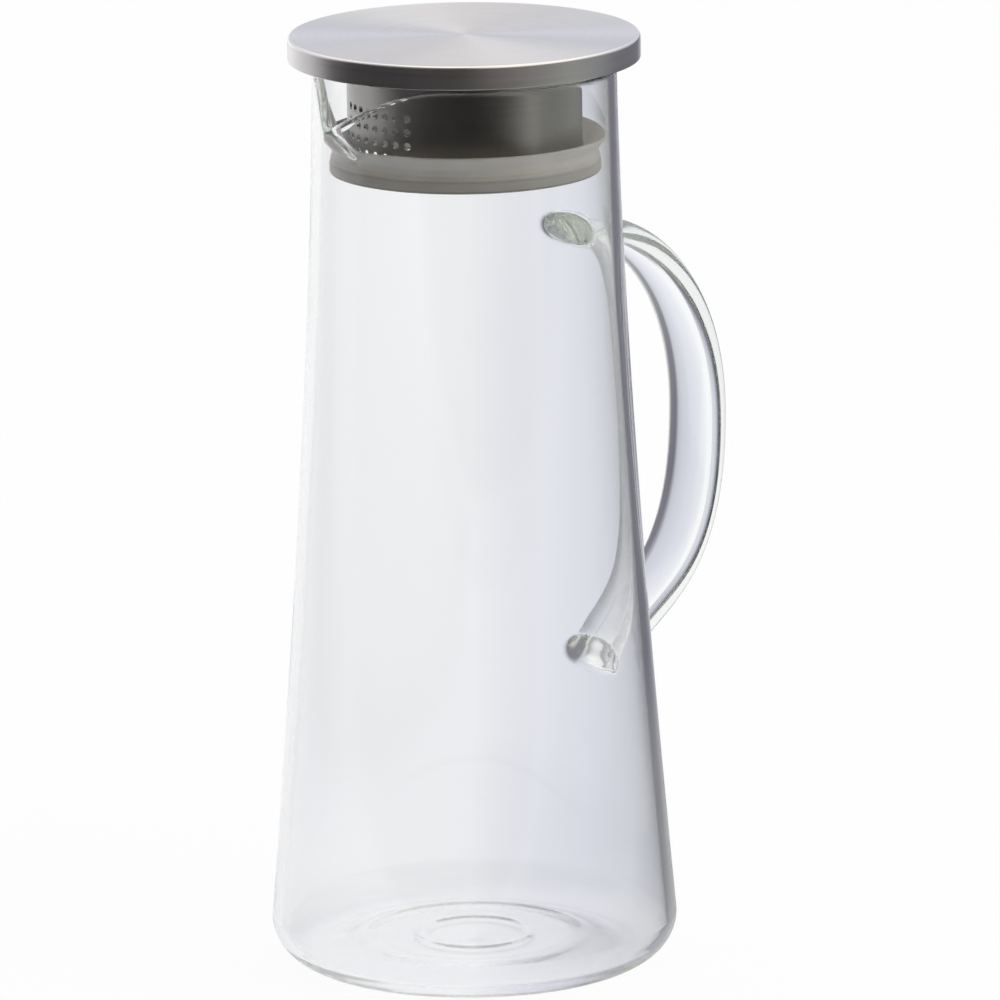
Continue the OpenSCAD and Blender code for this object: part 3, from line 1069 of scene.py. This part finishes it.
def make_world(studio, right, front):
    """The room: white to the camera, pale and dark by direction to glass and metal, soft to the rest."""
    world = bpy.data.worlds.new("room")
    bpy.context.scene.world = world
    world.use_nodes = True
    tree = world.node_tree
    path = put(tree, "ShaderNodeLightPath")
    direction = texture_place(tree, "Generated")
    around = bearing(direction, right, front)
    _, _, rise = split(direction)
    mirrored = toned(around, MIRRORED_LOW)
    mirrored = mixed(ranged(rise, *TO_WALL), mirrored, toned(around, MIRRORED_MIDDLE))
    mirrored = mixed(ranged(rise, *TO_UPPER), mirrored, toned(around, MIRRORED_HIGH))
    mirrored = mixed(ranged(rise, *TO_CEILING), mirrored, studio.ceiling)
    through = through_glass(path, toned(around, SEEN_CLEAR), toned(around, SEEN))
    room = mixed(path["Is Transmission Ray"], mirrored, through)
    lit_above = shaded(studio.ceiling, SOFT_CEILING)
    matte = mixed(ranged(rise, *TO_SOFT_CEILING), toned(around, SOFT), lit_above)
    soft = mixed(clear_view(path), matte, room)
    colour = mixed(path["Is Camera Ray"], soft, studio.backdrop)
    feed(tree, tree.nodes["Background"], {"Color": colour, "Strength": 1.0})


def floor_material(studio, right, front):
    """A pale table that keeps the pitcher's shadow, and that glass and metal see as a part of the room."""
    made, tree, shader = new_material("pale_table")
    path = put(tree, "ShaderNodeLightPath")
    place = texture_place(tree)
    grain = noise(place, scale=240.0)
    tint = mixed(grained(grain), (0.90, 0.90, 0.91), (0.92, 0.92, 0.92))
    feed(tree, shader, {"Base Color": tint, "Roughness": 0.7})

    def far_from(middle, fade, low=0.0, high=1.0):
        return ranged((place - tuple(middle)).math("LENGTH"), *fade, low, high)

    around = bearing(place, right, front)
    to_right, to_front = FOOT_MIDDLE
    near_foot = far_from(right * to_right + front * to_front, FOOT_FADE, low=1.0, high=0.0)
    mirrored = mixed(near_foot, toned(around, MIRRORED_LOW), toned(around, MIRRORED_TABLE))
    from_pole = bearing(place, right, front, POLE)
    off_pole = far_from(front * POLE, POLE_FADE)
    straight = mixed(off_pole, (0.90, 0.905, 0.93), toned(from_pole, SEEN_CLEAR))
    through = through_glass(path, straight, toned(from_pole, SEEN))
    behind = place.math("DOT_PRODUCT", front) * -1.0
    paler_behind = mixed(ranged(behind, 0.0, 0.9), (0.935, 0.935, 0.945), (1.0, 1.0, 1.0))
    deep = mixed(1.0, through, paler_behind, blend="MULTIPLY")
    room = mixed(path["Is Transmission Ray"], mirrored, deep)
    seen = clear_view(path)
    glow = put(tree, "ShaderNodeEmission", {"Color": mixed(seen, studio.backdrop, room), "Strength": 1.0})
    glowing = (path["Is Camera Ray"] * TABLE_GLOW).math("MAXIMUM", seen)
    both = put(tree, "ShaderNodeMixShader", {0: glowing, 1: Wire(tree, shader.outputs[0]), 2: glow})
    feed(tree, tree.nodes["Material Output"], {"Surface": both})
    return made


def make_lamp(name, place, size, power):
    """A soft square lamp that looks at the pitcher."""
    data = bpy.data.lights.new(name, "AREA")
    data.shape = "SQUARE"
    data.size = size
    data.energy = power
    lamp = shown(name, data)
    lamp.location = place
    lamp.rotation_mode = "QUATERNION"
    lamp.rotation_quaternion = (Vector((0.0, 0.0, LAMP_TARGET)) - place).to_track_quat("-Z", "Y")
    lamp.visible_glossy = False
    lamp.visible_transmission = False


class PITCHER_OT_glass(bpy.types.Operator):
    """Turns the body, pulls its spout, and fuses the strap handle to it"""

    bl_idname = "pitcher.glass"
    bl_label = "Glass body and handle"

    def execute(self, context):
        glass, handle = context.scene.pitcher_glass, context.scene.pitcher_handle
        material = glass_material(context.scene.pitcher_finishes)
        body = turned("pitcher_glass", body_outline(glass, handle), glass.turn_steps, material)
        place_points(body.data, pull_spout(glass, points_of(body.data)))

        line, top, low = strap_line(glass, handle)
        middle = spaced(line, TOP_GAP, LOW_GAP, handle.path_steps)
        near = np.minimum(np.linalg.norm(middle - top, axis=1), np.linalg.norm(middle - low, axis=1))
        swell = np.maximum(0.0, 1.0 - near / handle.flare) ** 2
        edges = [(i, i + 1) for i in range(len(middle) - 1)]
        base = plain_mesh("strap_line", [(x, 0.0, z) for x, z in middle], edges=edges)
        factors = {
            "wide": 1.0 + swell * (handle.root_width / handle.width - 1.0),
            "thick": 1.0 + swell * (handle.root_thickness / handle.thickness - 1.0),
            "oval": np.clip(OVAL_GAIN * np.sqrt(swell), LEAST_OVAL, 1.0),
        }
        for label, values in factors.items():
            base.attributes.new(label, "FLOAT", "POINT").data.foreach_set("value", values.astype(np.float32))
        values = {
            "Width": handle.width,
            "Thickness": handle.thickness,
            "Edge Rounding": handle.edge_round,
            "Corner Steps": 6,
            "Material": material,
        }
        strap = grown("strap", base, bpy.data.node_groups["swept_strap"], values)

        with reworked(strap) as work:
            bmesh.ops.remove_doubles(work, verts=work.verts, dist=MERGE)
            loops = open_loops(work)
            if len(loops) != 2:
                raise RuntimeError(f"the strap has {len(loops)} open ends, not 2")
            for loop in loops:
                height = sum(v.co.z for v in loop) / len(loop)
                at_top = height > handle.far_height
                run = middle[0] - middle[1] if at_top else middle[-1] - middle[-2]
                direction = np.array([run[0], 0.0, run[1]]) / np.linalg.norm(run)
                melt_root(work, loop, glass, handle, direction)
            bmesh.ops.recalc_face_normals(work, faces=work.faces)

        fuse = body.modifiers.new("fused", "BOOLEAN")
        fuse.operation = "UNION"
        fuse.solver = "MANIFOLD"
        fuse.object = strap
        piece = settled(body, "pitcher_glass")
        bpy.data.objects.remove(strap)
        soften_seam(piece, glass)
        coated(piece, material)
        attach(piece, "pitcher")
        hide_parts("glass_body", "glass_handle")
        return {"FINISHED"}


class PITCHER_OT_cap(bpy.types.Operator):
    """Turns the steel cap and gives the plate under it its steel"""

    bl_idname = "pitcher.cap"
    bl_label = "Cap and its plate"

    def execute(self, context):
        lid, finish = context.scene.pitcher_lid, context.scene.pitcher_finishes
        steel = steel_material(
            "cap_brushed_steel", finish.cap, roughness=0.31, brushing=2600.0, anisotropic=1.0, relief=0.01
        )
        top_edge = lid.radius - lid.edge_round
        inner = lid.radius - lid.steel
        hem = lid.hem_round
        outline = [(r, lid.top) for r in np.linspace(0.0, top_edge, 14)]
        outline += arc((top_edge, lid.top - lid.edge_round), lid.edge_round, 90, 0, 8)[1:]
        outline += [(lid.radius, z) for z in np.linspace(lid.top - lid.edge_round, lid.low + hem, 5)[1:]]
        outline += arc((lid.radius - hem, lid.low + hem), hem, 0, -90, 4)[1:]
        outline += arc((inner + hem, lid.low + hem), hem, -90, -180, 4)
        outline += [(inner, z) for z in np.linspace(lid.low + hem, lid.top - lid.steel, 4)[1:]]
        outline += [(r, lid.top - lid.steel) for r in np.linspace(inner, 0.0, 8)[1:]]
        piece = turned("cap_brushed", outline, CAP_STEPS, steel, sharp_angle=40)
        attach(piece, "lid")
        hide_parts("lid_cap")

        tone = shaded(finish.cap, 0.92)
        satin = steel_material(
            "plate_satin_steel", tone, roughness=0.34, brushing=1700.0, anisotropic=0.6, relief=0.02
        )
        coated(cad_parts["lid_liner"], satin)
        return {"FINISHED"}


class PITCHER_OT_strainer(bpy.types.Operator):
    """Punches the field of holes, rolls the drum, and gives it its beaded edge"""

    bl_idname = "pitcher.strainer"
    bl_label = "Strainer drum"

    def execute(self, context):
        drum, finish = context.scene.pitcher_strainer, context.scene.pitcher_finishes
        # The drum's darker steel tone is painted shade.
        steel = steel_material(
            "drum_steel_painted_shade", finish.drum, roughness=0.32, brushing=1500.0, anisotropic=0.85, relief=0.02
        )
        sides = 32
        field_low = drum.low + drum.hole_rise - drum.row_pitch / 2
        field_high = field_low + drum.rows * drum.row_pitch
        half_field = drum.columns * drum.column_pitch / 2
        half_round = math.pi * drum.radius
        corner = sides // 8
        shares = [math.tan(math.pi * 2 * k / sides) for k in range(-corner, corner)]

        def cell_lines(first, pitch, cells):
            return [first + pitch * (c + (1 + s) / 2) for c in range(cells) for s in shares]

        outside = list(np.linspace(half_field, half_round, 90))
        columns = [-u for u in outside[::-1]] + cell_lines(-half_field, drum.column_pitch, drum.columns)[1:]
        columns += outside
        wall_low = drum.low + drum.bead
        rows = list(np.linspace(wall_low, field_low, 4))[:-1]
        rows += cell_lines(field_low, drum.row_pitch, drum.rows)
        rows += list(np.linspace(field_high, drum.top, 8))
        points = [(u, z, 0.0) for z in rows for u in columns]
        width = len(columns)
        slack = 1e-6
        faces = []
        for j in range(len(rows) - 1):
            for i in range(width - 1):
                u, z = (columns[i] + columns[i + 1]) / 2, (rows[j] + rows[j + 1]) / 2
                if abs(u) < half_field - slack and field_low + slack < z < field_high - slack:
                    continue
                a = j * width + i
                faces.append((a, a + 1, a + width + 1, a + width))
        sheet = plain_mesh("drum_sheet", points, faces=faces)
        values = {
            "Columns": drum.columns,
            "Rows": drum.rows,
            "Column Pitch": drum.column_pitch,
            "Row Pitch": drum.row_pitch,
            "Hole Radius": drum.hole_radius,
            "Hole Sides": sides,
            "Field Height": (field_low + field_high) / 2,
            "Drum Radius": drum.radius,
            "Turn": drum.turn,
            "Material": steel,
        }
        skin = grown("drum_skin", sheet, bpy.data.node_groups["perforated_drum"], values)
        tidy_mesh(skin)
        outwards = sum(f.normal.dot(Vector((f.center.x, f.center.y, 0))) for f in skin.data.polygons)
        if outwards < 0:
            skin.data.flip_normals()
        thick = skin.modifiers.new("steel", "SOLIDIFY")
        thick.thickness = drum.steel
        thick.offset = -1.0
        piece = settled(skin, "drum_perforated")
        bead = arc((drum.radius, drum.low + drum.bead), drum.bead, -180, 180, 20)
        edge = turned("drum_bead", bead, RING_STEPS, steel)
        with reworked(piece) as work:
            work.from_mesh(edge.data)
        bpy.data.objects.remove(edge)
        coated(piece, steel)
        piece.data.shade_smooth()
        piece.data.set_sharp_from_angle(angle=math.radians(40))
        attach(piece, "lid")
        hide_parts("strainer_drum")
        return {"FINISHED"}


class PITCHER_OT_seal(bpy.types.Operator):
    """Turns the two-lip seal"""

    bl_idname = "pitcher.seal"
    bl_label = "Silicone seal"

    def execute(self, context):
        seal, drum = context.scene.pitcher_seal, context.scene.pitcher_strainer
        material = seal_material(context.scene.pitcher_finishes)
        low, top = seal.low, seal.low + seal.height
        waist_low = low + seal.height / 2
        lip_top = top + seal.height / 2
        bead_z = drum.low + drum.bead
        play = seal.drum_fit - drum.radius
        inside, lip, tuck, sweep, tip = 0.0004, 0.0009, 0.0005, 0.0014, 0.00035
        outline = [(seal.inner_radius, low + inside)]
        outline += arc((seal.inner_radius + inside, low + inside), inside, 180, 270, 4)[1:]
        outline += arc((seal.low_lip - lip, low + lip), lip, -90, 0, 8)
        outline += arc((seal.low_lip - tuck, waist_low - tuck), tuck, 0, 60, 5)
        outline += arc((seal.waist + lip, waist_low + 0.0016), lip, 240, 180, 5)
        outline += arc((seal.waist + sweep, top - 0.0006), sweep, 180, 135, 5)
        outline += [(seal.high_lip - 0.0002, lip_top - lip)]
        outline += arc((seal.high_lip - tip, lip_top - tip), tip, 0, 120, 8)
        outline += [(seal.waist - 0.0004, top + 0.0002), (seal.waist - lip, top)]
        outline += [(seal.drum_fit + inside, top)]
        outline += arc((seal.drum_fit + inside, top - inside), inside, 90, 180, 4)[1:]
        held = drum.bead + play
        start = math.degrees(math.acos(play / held))
        outline += arc((drum.radius, bead_z), held, start, -180, 20)
        outline += [outline[0]]
        piece = turned("seal_two_lip", outline, RING_STEPS, material, sharp_angle=50)
        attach(piece, "seal")
        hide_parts("seal_ring")
        return {"FINISHED"}


class PITCHER_OT_studio(bpy.types.Operator):
    """Sets up the camera, the pale table, the room and its lamps"""

    bl_idname = "pitcher.studio"
    bl_label = "Studio"

    def execute(self, context):
        studio = context.scene.pitcher_studio
        make_camera(studio)
        _, right, _, back = camera_axes(studio)
        right = Vector((right.x, right.y, 0.0)).normalized()
        front = Vector((back.x, back.y, 0.0)).normalized()
        make_world(studio, right, front)
        reach = TABLE_REACH
        square = ((-reach, -reach), (reach, -reach), (reach, reach), (-reach, reach))
        corners = [(x, y, TABLE_TOP) for x, y in square]
        table = shown("table", plain_mesh("table", corners, faces=[(0, 1, 2, 3)]))
        coated(table, floor_material(studio, right, front))
        for name, (to_right, to_front, height, size, power) in LAMPS.items():
            place = right * to_right + front * to_front + Vector((0, 0, height))
            make_lamp(name, place, size, power)
        return {"FINISHED"}


class PITCHER_PT_panel(bpy.types.Panel):
    """Lists the pieces of the pitcher"""

    bl_label = "Pitcher"
    bl_idname = "PITCHER_PT_panel"
    bl_space_type = "VIEW_3D"
    bl_region_type = "UI"
    bl_category = "Pitcher"

    def draw(self, context):
        for operator in OPERATORS:
            self.layout.operator(operator.bl_idname)
        for name in SETTINGS:
            column = self.layout.column()
            group = getattr(context.scene, name)
            for key in group.bl_rna.properties.keys():
                if key not in {"rna_type", "name"}:
                    column.prop(group, key)


OPERATORS = (PITCHER_OT_studio, PITCHER_OT_glass, PITCHER_OT_cap, PITCHER_OT_strainer, PITCHER_OT_seal)
SETTINGS = {
    "pitcher_glass": PitcherGlassSizes,
    "pitcher_handle": PitcherHandleSizes,
    "pitcher_lid": PitcherLidSizes,
    "pitcher_strainer": PitcherStrainerSizes,
    "pitcher_seal": PitcherSealSizes,
    "pitcher_finishes": PitcherFinishes,
    "pitcher_studio": PitcherStudio,
}


def register():
    for group in SETTINGS.values():
        bpy.utils.register_class(group)
    for name, group in SETTINGS.items():
        setattr(bpy.types.Scene, name, bpy.props.PointerProperty(type=group))
    for kind in (*OPERATORS, PITCHER_PT_panel):
        bpy.utils.register_class(kind)


def unregister():
    for kind in (PITCHER_PT_panel, *reversed(OPERATORS)):
        bpy.utils.unregister_class(kind)
    for name in SETTINGS:
        delattr(bpy.types.Scene, name)
    for group in reversed(SETTINGS.values()):
        bpy.utils.unregister_class(group)


def main():
    register()
    scene = bpy.context.scene
    scene.view_settings.view_transform = "Standard"
    lathe_tree()
    strap_tree()
    perforation_tree()
    bpy.ops.pitcher.studio()
    bpy.ops.pitcher.glass()
    bpy.ops.pitcher.cap()
    bpy.ops.pitcher.strainer()
    bpy.ops.pitcher.seal()


if __name__ == "__main__":
    main()
